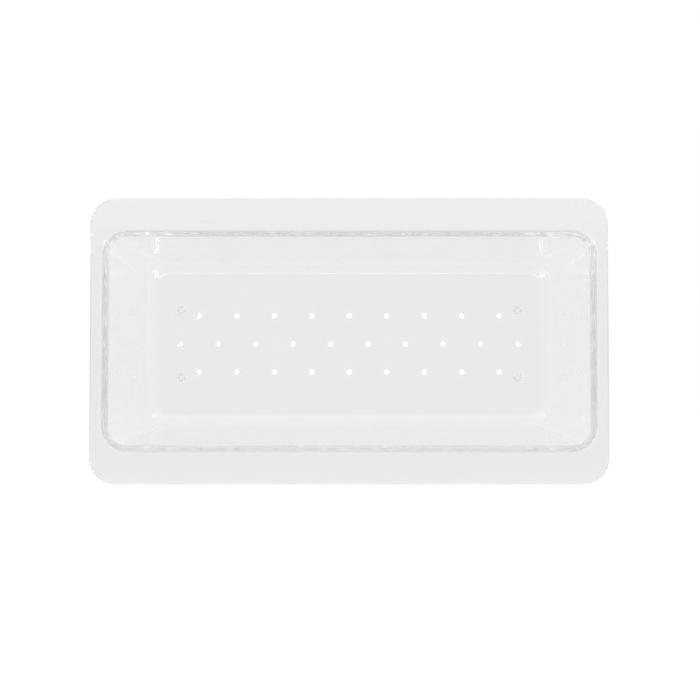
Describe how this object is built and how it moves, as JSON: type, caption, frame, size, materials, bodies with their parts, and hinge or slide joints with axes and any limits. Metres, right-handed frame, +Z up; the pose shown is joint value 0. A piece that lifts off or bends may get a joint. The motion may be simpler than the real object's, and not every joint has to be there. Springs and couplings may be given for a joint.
{
  "type": "sink waste bowl",
  "caption": "Clear rectangular waste bowl with a flat hanging flange, sloping walls and a floor of staggered drain holes, on small buffer feet.",
  "frame": {"origin": "on the table under the middle of the bowl, at the plane of the feet", "axes": "+X along the bowl's long side, +Y to its rear long side, +Z up out of the mouth"},
  "size_m": [0.37, 0.204, 0.0825],
  "materials": {
    "clear_plastic": "clear, colourless, polished moulding with light handling marks",
    "clear_buffer": "clear, soft, slightly satin"
  },
  "bodies": {
    "root": {"bowl": "clear_plastic", "foot_front_left": "clear_buffer", "foot_front_right": "clear_buffer", "foot_rear_left": "clear_buffer", "foot_rear_right": "clear_buffer"}
  },
  "joints": []
}
